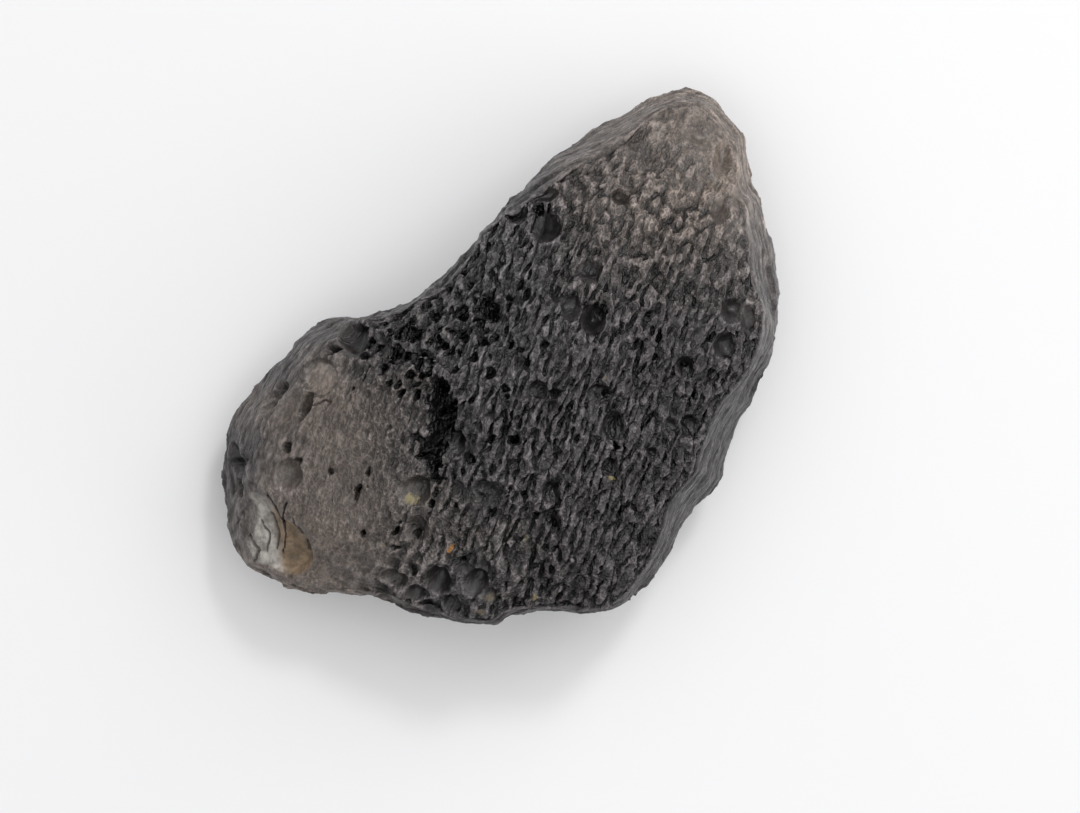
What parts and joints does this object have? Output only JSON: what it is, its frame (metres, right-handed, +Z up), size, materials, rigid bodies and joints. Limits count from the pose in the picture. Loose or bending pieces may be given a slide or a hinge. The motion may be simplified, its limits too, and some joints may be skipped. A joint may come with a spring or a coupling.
{
  "type": "tektite",
  "caption": "Lump of dark brown natural glass, long and pinched by a saddle at the back, with a domed top, bevelled edges and a skin pitted all over.",
  "frame": {"origin": "on the surface that the lump lies on, under the middle of its width and depth", "axes": "+Z up; +X towards the thin end; +Y away from the long front edge, towards the side with the saddle"},
  "size_m": [0.0452, 0.0427, 0.019],
  "materials": {
    "glass": "satin, frosted by weathering, with small glossy spots; brown and translucent at thin edges"
  },
  "bodies": {
    "root": {"tektite": "glass"}
  },
  "joints": []
}
